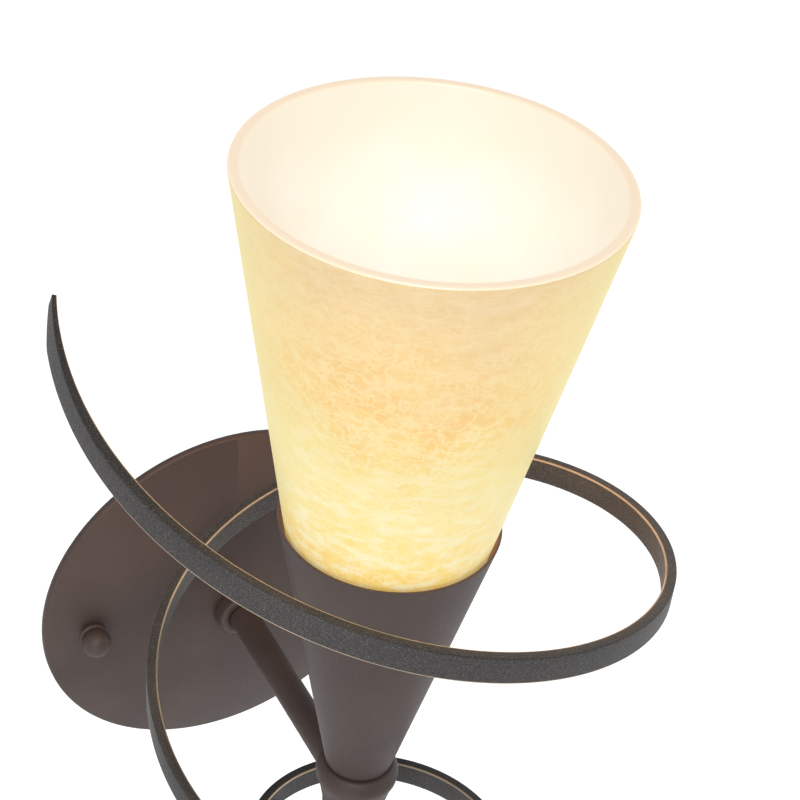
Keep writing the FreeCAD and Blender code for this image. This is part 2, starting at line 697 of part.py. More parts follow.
def build():
    """Every piece of the light by its node name."""
    return {
        "canopy": canopy(),
        "crossbar": crossbar(),
        "canopy_screws": canopy_screws(),
        "cap_nut_left": cap_nut(-1),
        "cap_nut_right": cap_nut(1),
        "ground_screw": ground_screw(),
        "arm_tube": arm_tube(),
        "arm_boss": arm_boss(),
        "arm_washer": arm_washer(),
        "arm_nut": arm_nut(),
        "hub": hub(),
        "stem": stem(),
        "bottom_finial": bottom_finial(),
        "nipple": nipple(),
        "torch_cup": torch_cup(),
        "cup_washer": cup_washer(),
        "cup_nut": cup_nut(),
        "shade_seat": shade_seat(),
        "shade_gasket": shade_gasket(),
        "glass_shade": glass_shade(),
        "holder_cap": holder_cap(),
        "holder_body": holder_body(),
        "holder_shell": holder_shell(),
        "holder_contact": holder_contact(),
        "lamp_envelope": lamp_envelope(),
        "lamp_base": lamp_base(),
        "lamp_contact": lamp_contact(),
        "lamp_mount": lamp_mount(),
        "lamp_filament": lamp_filament(),
        "lead_live": lead(-1),
        "lead_neutral": lead(1),
        "spiral_bar": spiral_bar(),
        "spiral_brace": spiral_brace(),
    }


def main():
    os.makedirs("parts", exist_ok=True)
    for name, shape in build().items():
        shape.exportStep("parts/%s.step" % name)
        box = shape.BoundBox
        print("%-16s %s solids %d  volume %9.1f  x %.1f..%.1f y %.1f..%.1f z %.1f..%.1f" % (
            name, "ok " if shape.isValid() else "BAD", len(shape.Solids), shape.Volume,
            box.XMin, box.XMax, box.YMin, box.YMax, box.ZMin, box.ZMax))


main()
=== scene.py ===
# %% [markdown]
# # A torch shaped wall light, dressed in Blender
#
# The real light is an amber glass cone in a spun metal cup.  One short arm holds the cup off a round
# wall plate, and a flat iron bar is wound round the torch as a spiral that narrows downwards.
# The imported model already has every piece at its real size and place.  This lesson keeps those
# places and gives the pieces that show smooth surfaces and worked finishes.

# %% Load the model
import json
import math

import bmesh
import bpy
import numpy as np
from mathutils import Matrix, Vector

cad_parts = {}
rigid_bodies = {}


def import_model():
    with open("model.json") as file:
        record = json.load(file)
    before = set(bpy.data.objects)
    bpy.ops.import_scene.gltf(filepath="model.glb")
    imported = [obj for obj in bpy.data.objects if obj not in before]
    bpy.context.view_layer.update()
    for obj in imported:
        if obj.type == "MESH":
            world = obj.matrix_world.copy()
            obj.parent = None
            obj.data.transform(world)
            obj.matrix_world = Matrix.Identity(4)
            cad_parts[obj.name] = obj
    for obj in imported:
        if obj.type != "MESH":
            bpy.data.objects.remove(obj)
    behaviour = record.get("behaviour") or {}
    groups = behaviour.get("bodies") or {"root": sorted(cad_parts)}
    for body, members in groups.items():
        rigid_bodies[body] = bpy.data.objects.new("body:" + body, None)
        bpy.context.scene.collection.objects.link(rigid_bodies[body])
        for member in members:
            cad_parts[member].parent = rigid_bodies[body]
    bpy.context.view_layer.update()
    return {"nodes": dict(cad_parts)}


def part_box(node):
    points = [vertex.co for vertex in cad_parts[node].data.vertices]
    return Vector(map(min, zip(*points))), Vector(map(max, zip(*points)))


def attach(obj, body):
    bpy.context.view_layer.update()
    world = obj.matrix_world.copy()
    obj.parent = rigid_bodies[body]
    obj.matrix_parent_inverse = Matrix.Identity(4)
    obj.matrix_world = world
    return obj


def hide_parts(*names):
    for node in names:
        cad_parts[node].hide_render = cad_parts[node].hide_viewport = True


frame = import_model()
MM = 0.001
print("pieces in the model:", len(frame["nodes"]))

# %% [markdown]
# ## The camera comes first
#
# The photograph looks down on the light from the front left, quite close, and the camera leans a
# little to one side.  A bearing, a height angle, a lean and a distance say that in a way that can
# be read and changed.  The point looked at lies just in front of the cone, at half its height.

# %% Camera
CAMERA_BEARING = math.radians(-31.44)     # from straight in front, towards the left
CAMERA_HEIGHT_ANGLE = math.radians(36.09)
CAMERA_LEAN = math.radians(7.42)
CAMERA_DISTANCE = 0.541
CAMERA_TARGET = Vector((0.0068, -0.0861, 0.1361))
CAMERA_LENS = 90.95                       # mm on a 36 mm wide sensor


def place_camera():
    """Camera at distance D from the target along the direction given by its two angles."""
    level = math.cos(CAMERA_HEIGHT_ANGLE)
    back = Vector((math.sin(CAMERA_BEARING) * level, -math.cos(CAMERA_BEARING) * level,
                   math.sin(CAMERA_HEIGHT_ANGLE)))
    right = Vector((0, 0, 1)).cross(back).normalized()
    up = back.cross(right)
    lean_right = right * math.cos(CAMERA_LEAN) + up * math.sin(CAMERA_LEAN)
    lean_up = up * math.cos(CAMERA_LEAN) - right * math.sin(CAMERA_LEAN)
    turn = Matrix((lean_right, lean_up, back)).transposed().to_4x4()
    data = bpy.data.cameras.new("camera")
    data.lens = CAMERA_LENS
    data.sensor_width = 36.0
    camera = bpy.data.objects.new("camera", data)
    camera.matrix_world = Matrix.Translation(CAMERA_TARGET + back * CAMERA_DISTANCE) @ turn
    bpy.context.scene.collection.objects.link(camera)
    bpy.context.scene.camera = camera
    return camera


camera = place_camera()
print("camera stands at", [round(v, 3) for v in camera.matrix_world.translation])

# %% [markdown]
# ## Measures read from the model
#
# Each new surface takes its place from the piece that it stands for, so nothing has to be fitted
# afterwards.  Only what a box can't tell, such as a wall's thickness, is written down here.

# %% Measures
def box_of(node):
    """Lowest and highest corner of a piece as two arrays."""
    low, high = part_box(node)
    return np.array(low), np.array(high)


stem_low, stem_high = box_of("stem")
AXIS_X = 0.5 * (stem_low[0] + stem_high[0])
AXIS_Y = 0.5 * (stem_low[1] + stem_high[1])
print("torch axis at x %.4f, y %.4f" % (AXIS_X, AXIS_Y))

# %% [markdown]
# ## A profile carried round an axis
#
# Nearly every piece of this light is turned, spun or cast round.  Such a piece is a function of two
# parameters: how far along its outline, and how far round.  The outline is a short list of corners,
# each with the radius that the tool or the grinding left on it.

# %% Outlines with rounded corners
ARC_STEPS = 6


def rounded(corners, closed=True):
    """Points of an outline.  Each corner is (a, b, radius), and a radius r becomes a fillet:
    its ends lie r * tan(turn / 2) along both sides, and its points are a quadratic blend
    between them, which keeps the outline tangent to its sides."""
    corners = np.array(corners, float)
    count = len(corners)
    points = []
    for k, (a, b, radius) in enumerate(corners):
        here = np.array([a, b])
        ends = closed is False and k in (0, count - 1)
        if radius <= 0 or ends:
            points.append(here[None, :])
            continue
        before = corners[k - 1, :2] - here
        after = corners[(k + 1) % count, :2] - here
        before_len, after_len = np.linalg.norm(before), np.linalg.norm(after)
        before, after = before / before_len, after / after_len
        turn = math.pi - math.acos(float(np.clip(before @ after, -1, 1)))
        reach = min(radius * math.tan(turn / 2), 0.48 * before_len, 0.48 * after_len)
        t = np.linspace(0, 1, ARC_STEPS + 1)[:, None]
        start, end = here + before * reach, here + after * reach
        points.append(start * (1 - t) ** 2 + here * 2 * t * (1 - t) + end * t ** 2)
    return np.concatenate(points)


def arc_points(start, middle, end, steps):
    """Points on the circle through three points, evenly spaced in angle."""
    (ax, ay), (bx, by), (cx, cy) = start, middle, end
    d = 2 * (ax * (by - cy) + bx * (cy - ay) + cx * (ay - by))
    sa, sb, sc = ax * ax + ay * ay, bx * bx + by * by, cx * cx + cy * cy
    ux = (sa * (by - cy) + sb * (cy - ay) + sc * (ay - by)) / d
    uy = (sa * (cx - bx) + sb * (ax - cx) + sc * (bx - ax)) / d
    radius = math.hypot(ax - ux, ay - uy)
    angles = [math.atan2(y - uy, x - ux) for x, y in (start, middle, end)]
    first, mid, last = np.unwrap(angles) if abs(angles[2] - angles[0]) > math.pi else angles
    if not min(first, last) <= mid <= max(first, last):
        last += 2 * math.pi * (1 if last < first else -1)
    sweep = np.linspace(first, last, steps + 1)
    return np.stack([ux + radius * np.cos(sweep), uy + radius * np.sin(sweep)], 1)


# %% [markdown]
# A grid of points becomes a mesh in one step: the four corners of every face are found by adding
# whole arrays of indices, and rows or columns may wrap round.  Points that fall together at a pole
# are merged, and if the enclosed volume comes out negative, every face is turned over.

# %% Surfaces from grids
def grid_faces(rows, cols, wrap_rows, wrap_cols):
    """Quads between neighbouring grid points, as an array of four indices each."""
    i = np.arange(rows if wrap_rows else rows - 1)[:, None]
    j = np.arange(cols if wrap_cols else cols - 1)[None, :]
    i2, j2 = (i + 1) % rows, (j + 1) % cols
    corners = [i * cols + j, i * cols + j2, i2 * cols + j2, i2 * cols + j]
    return np.stack([c.ravel() for c in np.broadcast_arrays(*corners)], 1)


def enclosed_volume(points, faces):
    """Sum of the signed tetrahedra from the origin to both halves of every quad."""
    a, b, c, d = (points[faces[:, k]] for k in range(4))
    return float((np.cross(a, b) * c).sum() + (np.cross(a, c) * d).sum()) / 6.0


def surface(name, grid, wrap_rows=False, wrap_cols=True, caps=False):
    """Mesh object from a (rows, columns, 3) grid, with merged poles and outward faces."""
    rows, cols = grid.shape[:2]
    points = grid.reshape(-1, 3)
    faces = grid_faces(rows, cols, wrap_rows, wrap_cols)
    outward = enclosed_volume(points - points.mean(0), faces) > 0
    if not outward:
        faces = faces[:, ::-1]
    face_list = faces.tolist()
    if caps:
        first, last = list(range(cols)), list(range((rows - 1) * cols, rows * cols))
        face_list += [first[::-1], last] if outward else [first, last[::-1]]
    mesh = bpy.data.meshes.new(name)
    mesh.from_pydata(points.tolist(), [], face_list)
    merge_and_smooth(mesh)
    piece = bpy.data.objects.new(name, mesh)
    bpy.context.scene.collection.objects.link(piece)
    return piece


def merge_and_smooth(mesh, distance=1e-7):
    """Merge points that coincide, drop faces without area, and shade smooth."""
    bm = bmesh.new()
    bm.from_mesh(mesh)
    bmesh.ops.remove_doubles(bm, verts=bm.verts, dist=distance)
    bmesh.ops.dissolve_degenerate(bm, edges=bm.edges, dist=distance)
    bm.to_mesh(mesh)
    bm.free()
    mesh.polygons.foreach_set("use_smooth", np.ones(len(mesh.polygons), bool))
    mesh.update()


def turned(name, outline, steps=160, closed=True, axis="z", centre=(0.0, 0.0)):
    """Surface of revolution: outline (radius, height) carried round the axis.
    A point at angle a is (cx + r cos a, cy + r sin a, h), with z and y changed over when the
    axis is square to the wall."""
    a = np.linspace(0, 2 * math.pi, steps, endpoint=False)[None, :]
    r, h = outline[:, :1], outline[:, 1:2]
    first, second = centre[0] + r * np.cos(a), centre[1] + r * np.sin(a)
    along = np.broadcast_to(h, first.shape)
    order = (first, second, along) if axis == "z" else (first, along, second)
    return surface(name, np.stack(order, -1), wrap_rows=closed)


def torch_turned(name, outline, steps=160, closed=True):
    """A piece turned round the torch's own axis."""
    return turned(name, outline, steps, closed, "z", (AXIS_X, AXIS_Y))


# %% [markdown]
# ## Finishes
#
# Colours are picked as screen colours and changed to the linear light that shaders work in.
# A light that is on, seen against a white room, needs its colours as they are, so the picture is
# shown with the plain Standard curve.

# %% Colour and node helpers
bpy.context.scene.view_settings.view_transform = "Standard"


def screen(red, green, blue):
    """Linear colour of an 8 bit screen colour, by the sRGB curve."""
    values = np.array([red, green, blue]) / 255.0
    linear = np.where(values <= 0.04045, values / 12.92, ((values + 0.055) / 1.055) ** 2.4)
    return (*[float(v) for v in linear], 1.0)


class Tree:
    """Short names for adding and joining nodes of one material or group."""

    def __init__(self, tree):
        self.tree = tree

    def add(self, kind, inputs=None, **settings):
        node = self.tree.nodes.new(kind)
        for key, value in settings.items():
            setattr(node, key, value)
        for key, value in (inputs or {}).items():
            if isinstance(value, bpy.types.NodeSocket):
                self.tree.links.new(value, node.inputs[key])
            else:
                node.inputs[key].default_value = value
        return node

    def ramp(self, factor, stops, mode="LINEAR"):
        """Colour ramp from (position, colour) stops."""
        node = self.add("ShaderNodeValToRGB", {"Fac": factor})
        node.color_ramp.interpolation = mode
        elements = node.color_ramp.elements
        while len(elements) < len(stops):
            elements.new(0.5)
        for element, (position, colour) in zip(elements, stops):
            element.position = position
            element.color = colour
        return node.outputs["Color"]

    def mix(self, factor, a, b, mode="MIX"):
        """Blend of two colours."""
        node = self.add("ShaderNodeMix", {0: factor, 6: a, 7: b}, data_type="RGBA",
                        blend_type=mode)
        return node.outputs[2]

    def math(self, operation, a, b=0.0, clamp=False):
        node = self.add("ShaderNodeMath", {0: a, 1: b}, operation=operation, use_clamp=clamp)
        return node.outputs[0]

    def span(self, value, low, high, to_low=0.0, to_high=1.0):
        """Map a value from one range to another, held at the ends."""
        node = self.add("ShaderNodeMapRange", {"Value": value, "From Min": low, "From Max": high,
                                               "To Min": to_low, "To Max": to_high})
        return node.outputs["Result"]


def new_material(name):
    """Empty material with a Principled shader; returns material, tree and shader."""
    material = bpy.data.materials.new(name)
    material.use_nodes = True
    tree = Tree(material.node_tree)
    shader = material.node_tree.nodes["Principled BSDF"]
    return material, tree, shader


def new_group(name, inputs, outputs):
    """Node group with named sockets; returns the group, its tree, its inputs and its output."""
    group = bpy.data.node_groups.new(name, "ShaderNodeTree")
    for label, kind, value in inputs:
        socket = group.interface.new_socket(name=label, in_out="INPUT", socket_type=kind)
        socket.default_value = value
    for label, kind in outputs:
        group.interface.new_socket(name=label, in_out="OUTPUT", socket_type=kind)
    tree = Tree(group)
    source = group.nodes.new("NodeGroupInput")
    sink = group.nodes.new("NodeGroupOutput")
    return group, tree, source.outputs, sink


def feed(tree, shader, socket, value):
    """Join an output to a shader socket."""
    tree.tree.links.new(value, shader.inputs[socket])


# %% [markdown]
# ### Baked powder paint
#
# The metal has a baked powder finish: a faint orange peel, a grain like fine sand, and a soft
# change of shade where the powder lay thicker.  The same group serves the smooth brown parts and
# the much sandier bar, with other values.  Along two corners of the bar a painted highlight is laid
# in, as a lighter and glossier metal colour where light catches.  The mesh itself says where, by an
# attribute that is 1 on those points and 0 elsewhere.

# %% Powder paint
def powder_group():
    """Mask of grains, slow cloud and bump height, all from noise in object space."""
    inputs = [("Grain size", "NodeSocketFloat", 0.5), ("Grain share", "NodeSocketFloat", 0.5),
              ("Cloud size", "NodeSocketFloat", 20.0)]
    outputs = [("Grain", "NodeSocketFloat"), ("Cloud", "NodeSocketFloat"),
               ("Height", "NodeSocketFloat")]
    group, tree, given, sink = new_group("powder_grain", inputs, outputs)
    place = tree.add("ShaderNodeTexCoord").outputs["Object"]
    grain_scale = tree.math("DIVIDE", 1.0 / MM, given["Grain size"])
    cloud_scale = tree.math("DIVIDE", 1.0 / MM, given["Cloud size"])
    grain = tree.add("ShaderNodeTexNoise", {"Vector": place, "Scale": grain_scale, "Detail": 3.0,
                                            "Roughness": 0.65}).outputs["Fac"]
    low = tree.math("SUBTRACT", 0.62, tree.math("MULTIPLY", given["Grain share"], 0.2))
    spot = tree.add("ShaderNodeMapRange", {"Value": grain, "From Min": low, "From Max": 0.72})
    cloud = tree.add("ShaderNodeTexNoise", {"Vector": place, "Scale": cloud_scale, "Detail": 2.0,
                                            "Roughness": 0.5}).outputs["Fac"]
    links = tree.tree.links
    links.new(spot.outputs["Result"], sink.inputs["Grain"])
    links.new(cloud, sink.inputs["Cloud"])
    links.new(grain, sink.inputs["Height"])
    return group


POWDER = powder_group()


def powder_paint(name, dark, light, grain_colour, grain_mm, grain_share, bump_mm, roughness,
                 highlight=None):
    """Powder coated metal from two shades and the colour of its grains.  Where the mesh carries
    the attribute "edge", a painted highlight of the last colour is laid in, as glossy metal."""
    material, tree, shader = new_material(name)
    grain = tree.add("ShaderNodeGroup", node_tree=POWDER)
    grain.inputs["Grain size"].default_value = grain_mm
    grain.inputs["Grain share"].default_value = grain_share
    grain.inputs["Cloud size"].default_value = 26.0
    cloud = tree.span(grain.outputs["Cloud"], 0.35, 0.65)
    body = tree.mix(cloud, dark, light)
    speck = tree.math("MULTIPLY", grain.outputs["Grain"], grain_share)
    colour = tree.mix(speck, body, grain_colour)
    rough = tree.span(grain.outputs["Height"], 0.3, 0.7, roughness + 0.08, roughness - 0.08)
    # painted highlight: a lighter, glossier metal colour laid along the marked corners
    if highlight:
        edge = tree.add("ShaderNodeAttribute", attribute_name="edge").outputs["Fac"]
        highlight_share = tree.math("MULTIPLY", edge, tree.span(grain.outputs["Cloud"], 0.3, 0.6, 0.35, 1.0))
        colour = tree.mix(highlight_share, colour, highlight)
        rough = tree.math("SUBTRACT", rough, tree.math("MULTIPLY", highlight_share, 0.18))
        feed(tree, shader, "Metallic", highlight_share)
    feed(tree, shader, "Base Color", colour)
    feed(tree, shader, "Roughness", rough)
    bump = tree.add("ShaderNodeBump", {"Strength": 1.0, "Distance": bump_mm * MM,
                                       "Height": grain.outputs["Height"]})
    feed(tree, shader, "Normal", bump.outputs["Normal"])
    shader.inputs["Specular IOR Level"].default_value = 0.3
    return material


bronze_paint = powder_paint("bronze_paint", screen(51, 40, 37), screen(58, 46, 42),
                            screen(80, 64, 56), 0.45, 0.25, 0.015, 0.55)
# the last colour is a painted highlight along two corners of the bar
iron_paint = powder_paint("iron_paint", screen(31, 29, 29), screen(38, 36, 35),
                          screen(92, 89, 88), 0.38, 0.6, 0.05, 0.52, screen(184, 164, 138))
print("painted finishes:", bronze_paint.name, iron_paint.name)

# %% [markdown]
# ### Mottled amber glass
#
# The cone is cast glass with milky veins, lit from inside.  Its colour runs with height, and that
# ramp is painted glow: pale peach below the rim, honey in the middle, palest and brightest yellow
# beside the lamp, and amber again just above the cup.  Each colour is shared between what the glass
# reflects and a painted glow that stands for what it lets through, because a lit glass does both,
# and the two shares together make the colour that is seen.
#
# The mottle is orange islands in a net of pale threads.  A cell texture scatters points, and the
# borders between their cells are the threads.  The place is first bent by a noise, or the borders
# would be straight.  Whitish patches lie lower down, and everything is flattened in height, the way
# the glass was pressed.  At its sides, where the cone is seen at a slant, a painted glow of fuller
# yellow is laid in.

# %% Glass
GLASS_LOW, GLASS_HIGH = box_of("glass_shade")
GLASS_OWN = 0.37      # share of its colour that the glass reflects
GLASS_GLOW = 0.365    # strength of the light that comes through the cone
INSIDE_GLOW = 0.41
RIM_GLOW = 0.50
THREAD_COLOUR = screen(255, 240, 190)
ISLAND_TINT = (1.0, 0.87, 0.74, 1.0)


def mottle_group():
    """Four masks in object space, flattened in height.  Threads are the borders between the
    cells of scattered points, and islands are the insides of those cells, after the place has
    been bent by a noise.  Patches are wide clouds, and streaks are the flattest noise."""
    inputs = [("Size", "NodeSocketFloat", 5.0)]
    outputs = [(label, "NodeSocketFloat") for label in ("Island", "Thread", "Patch", "Streak")]
    group, tree, given, sink = new_group("glass_mottle", inputs, outputs)
    place = tree.add("ShaderNodeTexCoord").outputs["Object"]
    scale = tree.math("DIVIDE", 1.0 / MM, given["Size"])

    def noise(flatten, factor, detail, roughness, distortion=0.0):
        flat = tree.add("ShaderNodeMapping", {"Vector": place, "Scale": (1.0, 1.0, flatten)})
        return tree.add("ShaderNodeTexNoise", {
            "Vector": flat.outputs["Vector"], "Scale": tree.math("MULTIPLY", scale, factor),
            "Detail": detail, "Roughness": roughness, "Distortion": distortion}).outputs["Fac"]

    bend = tree.add("ShaderNodeTexNoise", {"Vector": place, "Detail": 4.0, "Roughness": 0.6,
                                           "Scale": tree.math("MULTIPLY", scale, 0.9)})
    middle = tree.add("ShaderNodeVectorMath", {0: bend.outputs["Color"], 1: (0.5, 0.5, 0.5)},
                      operation="SUBTRACT")
    reach = tree.math("MULTIPLY", given["Size"], 2.8 * MM)
    push = tree.add("ShaderNodeVectorMath", {0: middle.outputs[0], "Scale": reach},
                    operation="SCALE")
    bent = tree.add("ShaderNodeVectorMath", {0: place, 1: push.outputs[0]}, operation="ADD")
    flat_bent = tree.add("ShaderNodeMapping", {"Vector": bent.outputs[0],
                                               "Scale": (1.0, 1.0, 1.6)})
    cells = tree.add("ShaderNodeTexVoronoi", {"Vector": flat_bent.outputs["Vector"],
                                              "Scale": scale}, feature="DISTANCE_TO_EDGE")
    away = cells.outputs["Distance"]
    some = tree.span(noise(1.6, 0.5, 3.0, 0.5), 0.42, 0.62)
    island = tree.math("MULTIPLY", tree.span(away, 0.04, 0.20), some)
    thread = tree.span(away, 0.0, 0.12, 1.0, 0.0)
    patch = tree.span(noise(2.6, 0.75, 8.0, 0.66), 0.46, 0.60)
    streak = tree.span(noise(5.5, 1.0, 5.0, 0.65), 0.35, 0.65)
    for label, value in zip(("Island", "Thread", "Patch", "Streak"),
                            (island, thread, patch, streak)):
        tree.tree.links.new(value, sink.inputs[label])
    return group


MOTTLE = mottle_group()


def lit_glass(tree, shader, colour):
    """Share a colour between what the glass reflects and what it lets through."""
    own = tree.mix(1.0, colour, (GLASS_OWN, GLASS_OWN, GLASS_OWN, 1.0), "MULTIPLY")
    feed(tree, shader, "Base Color", own)
    feed(tree, shader, "Emission Color", colour)


def amber_glass():
    """Outer face of the lit cone: a ramp over its height that is painted glow, brightest beside the
    lamp, whitish patches low down, islands and speckles that tint it, two nets of threads, streaks,
    and a painted glow of fuller yellow at the sides."""
    material, tree, shader = new_material("amber_glass")
    place = tree.add("ShaderNodeTexCoord").outputs["Object"]
    height = tree.add("ShaderNodeSeparateXYZ", {"Vector": place}).outputs["Z"]
    up = tree.span(height, float(GLASS_LOW[2]), float(GLASS_HIGH[2]))
    wave = tree.add("ShaderNodeTexNoise", {"Vector": place, "Scale": 38.0, "Detail": 2.0})
    sway = tree.span(wave.outputs["Fac"], 0.3, 0.7, -0.05, 0.05)
    level = tree.math("ADD", up, sway)
    # painted glow: the ramp is palest and brightest beside the lamp and deeper amber away from it
    body = tree.ramp(level, [(0.11, screen(255, 212, 98)), (0.18, screen(255, 223, 116)),
                             (0.26, screen(255, 229, 138)), (0.36, screen(253, 234, 160)),
                             (0.48, screen(252, 229, 144)), (0.62, screen(251, 209, 126)),
                             (0.80, screen(245, 209, 144)), (0.95, screen(232, 200, 148))])
    mottle = tree.add("ShaderNodeGroup", {"Size": 6.0}, node_tree=MOTTLE)
    finer = tree.add("ShaderNodeGroup", {"Size": 2.7}, node_tree=MOTTLE)
    low = tree.span(level, 0.30, 0.60, 0.62, 0.14)
    cloud = tree.math("MULTIPLY", mottle.outputs["Patch"], low)
    pale = tree.mix(cloud, body, screen(255, 252, 224))
    spread = tree.span(level, 0.70, 0.95, 0.75, 0.10)
    rising = tree.math("MULTIPLY", spread, tree.span(level, 0.28, 0.58, 0.25, 1.0))
    island = tree.math("MULTIPLY", mottle.outputs["Island"], rising)
    large = tree.mix(island, pale, ISLAND_TINT, "MULTIPLY")
    speck = tree.math("MULTIPLY", finer.outputs["Island"], tree.math("MULTIPLY", rising, 0.55))
    small = tree.mix(speck, large, ISLAND_TINT, "MULTIPLY")
    net_share = tree.span(level, 0.60, 0.92, 0.44, 0.12)
    net = tree.math("MULTIPLY", mottle.outputs["Thread"], net_share)
    netted = tree.mix(net, small, THREAD_COLOUR)
    fine_net = tree.math("MULTIPLY", finer.outputs["Thread"], tree.math("MULTIPLY", net_share, 0.4))
    fine_netted = tree.mix(fine_net, netted, THREAD_COLOUR)
    streak = tree.math("MULTIPLY", finer.outputs["Streak"], 0.18)
    streaked = tree.mix(streak, fine_netted, screen(255, 238, 180))
    # painted glow: a fuller, brighter yellow where the cone is seen at a slant
    view = tree.add("ShaderNodeLayerWeight", {"Blend": 0.5}).outputs["Facing"]
    slant = tree.span(view, 0.36, 0.86, 0.0, 0.75)
    side = tree.math("MULTIPLY", slant, tree.span(level, 0.15, 0.40, 0.25, 1.0))
    lit_glass(tree, shader, tree.mix(side, streaked, screen(255, 239, 160)))
    shader.inputs["Emission Strength"].default_value = GLASS_GLOW
    shader.inputs["Roughness"].default_value = 0.45
    shader.inputs["IOR"].default_value = 1.45
    return material


def glowing_glass(name, deep, high, glow):
    """Inner face and ground rim, whose pale colours are painted glow of the lit glass.  The colour
    goes from deep to high over the cone's height, with a slow cloud in it."""
    material, tree, shader = new_material(name)
    place = tree.add("ShaderNodeTexCoord").outputs["Object"]
    height = tree.add("ShaderNodeSeparateXYZ", {"Vector": place}).outputs["Z"]
    up = tree.span(height, float(GLASS_LOW[2]), float(GLASS_HIGH[2]), 0.0, 1.0)
    haze = tree.add("ShaderNodeTexNoise", {"Vector": place, "Scale": 55.0, "Detail": 3.0})
    sway = tree.span(haze.outputs["Fac"], 0.3, 0.7, -0.12, 0.12)
    share = tree.span(tree.math("ADD", up, sway), 0.45, 0.90)
    lit_glass(tree, shader, tree.mix(share, deep, high))
    shader.inputs["Emission Strength"].default_value = glow
    shader.inputs["Roughness"].default_value = 0.38
    return material


glass_outside = amber_glass()
# painted glow: the inner face is near white where the lamp lights it
glass_inside = glowing_glass("glass_inside", screen(255, 251, 243), screen(255, 244, 224),
                          INSIDE_GLOW)
glass_rim = glowing_glass("glass_rim", screen(253, 226, 196), screen(254, 233, 205), RIM_GLOW)
print("glass finishes made")

# %% [markdown]
# ### Small finishes
#
# Zinc plate, brass, moulded plastic and the rest are seen from behind or inside only, but they get
# the same care: a slow cloud in the colour and fine marks in the gloss.

# %% Small finishes
def plain_finish(name, colour, other, roughness, metallic=0.0, cloud_mm=6.0, glow=0.0):
    """Two close shades in slow clouds, with the gloss changing a little with them.  A finish
    that glows shares its colour as the cone's glass does."""
    material, tree, shader = new_material(name)
    place = tree.add("ShaderNodeTexCoord").outputs["Object"]
    cloud = tree.add("ShaderNodeTexNoise", {"Vector": place, "Scale": 1.0 / (cloud_mm * MM),
                                            "Detail": 4.0}).outputs["Fac"]
    share = tree.span(cloud, 0.3, 0.7)
    shade = tree.mix(share, colour, other)
    feed(tree, shader, "Roughness", tree.span(cloud, 0.3, 0.7, roughness - 0.06, roughness + 0.06))
    shader.inputs["Metallic"].default_value = metallic
    if glow:
        lit_glass(tree, shader, shade)
        shader.inputs["Emission Strength"].default_value = glow
    else:
        feed(tree, shader, "Base Color", shade)
    return material


zinc = plain_finish("zinc_plate", screen(186, 188, 184), screen(160, 162, 160), 0.32, 1.0, 3.0)
green = plain_finish("green_screw", screen(34, 112, 62), screen(46, 130, 74), 0.30, 0.4)
gasket = plain_finish("gasket_ring", screen(222, 216, 202), screen(204, 198, 184), 0.75)
moulding = plain_finish("lampholder_moulding", screen(44, 40, 37), screen(56, 51, 47), 0.42)
brass = plain_finish("brass", screen(214, 178, 108), screen(196, 158, 90), 0.28, 1.0, 4.0)
bulb_glass = plain_finish("bulb_glass", screen(255, 238, 196), screen(255, 230, 176), 0.12,
                          glow=0.60)
filament = plain_finish("filament", screen(255, 214, 120), screen(255, 226, 150), 0.5, glow=2.0)
black_lead = plain_finish("black_lead", screen(24, 24, 25), screen(34, 34, 34), 0.34)
white_lead = plain_finish("white_lead", screen(222, 221, 214), screen(206, 205, 198), 0.34)

NODE_FINISH = {
    "crossbar": zinc, "canopy_screws": zinc, "ground_screw": green, "arm_washer": zinc,
    "arm_nut": zinc, "nipple": zinc, "cup_washer": zinc, "cup_nut": zinc, "shade_seat": zinc,
    "holder_cap": zinc, "shade_gasket": gasket, "holder_body": moulding, "holder_shell": brass,
    "holder_contact": brass, "lamp_base": brass, "lamp_contact": brass, "lamp_mount": bulb_glass,
    "lamp_envelope": bulb_glass, "lamp_filament": filament, "lead_live": black_lead,
    "lead_neutral": white_lead, "glass_shade": glass_outside, "spiral_bar": iron_paint,
    "spiral_brace": iron_paint,
}
for node_name, node_object in frame["nodes"].items():
    node_object.data.materials.clear()
    node_object.data.materials.append(NODE_FINISH.get(node_name, bronze_paint))
print("finished CAD pieces:", len(frame["nodes"]))


def stand_for(piece, node, body, slot, *materials):
    """Piece takes the node's place and body, and the node is hidden.  Argument slot is not used."""
    for material in materials:
        piece.data.materials.append(material)
    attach(piece, body)
    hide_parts(node)
    return piece


# %% [markdown]
# ## The glass cone
#
# The wall is 3 mm thick, its top edge is ground flat and its corners are eased.  One closed outline
# runs up the outside, over the rim and down the inside, and is carried round the axis.  Faces are
# then given the outer, inner or rim finish by where they lie on that outline.

# %% Glass cone
GLASS_WALL = 3.0 * MM
GLASS_FOOT_R = 26.8 * MM
RIM_EASE = 1.0 * MM
FOOT_EASE = 0.4 * MM


def glass_cone():
    """Closed outline: foot, outer wall, rim and inner wall."""
    foot, rim = float(GLASS_LOW[2]), float(GLASS_HIGH[2])
    rim_r = 0.5 * float(GLASS_HIGH[0] - GLASS_LOW[0])
    outline = rounded([(GLASS_FOOT_R, foot, FOOT_EASE), (rim_r, rim, RIM_EASE),
                       (rim_r - GLASS_WALL, rim, RIM_EASE),
                       (GLASS_FOOT_R - GLASS_WALL, foot, FOOT_EASE)])
    return torch_turned("glass_cone", outline, 256)


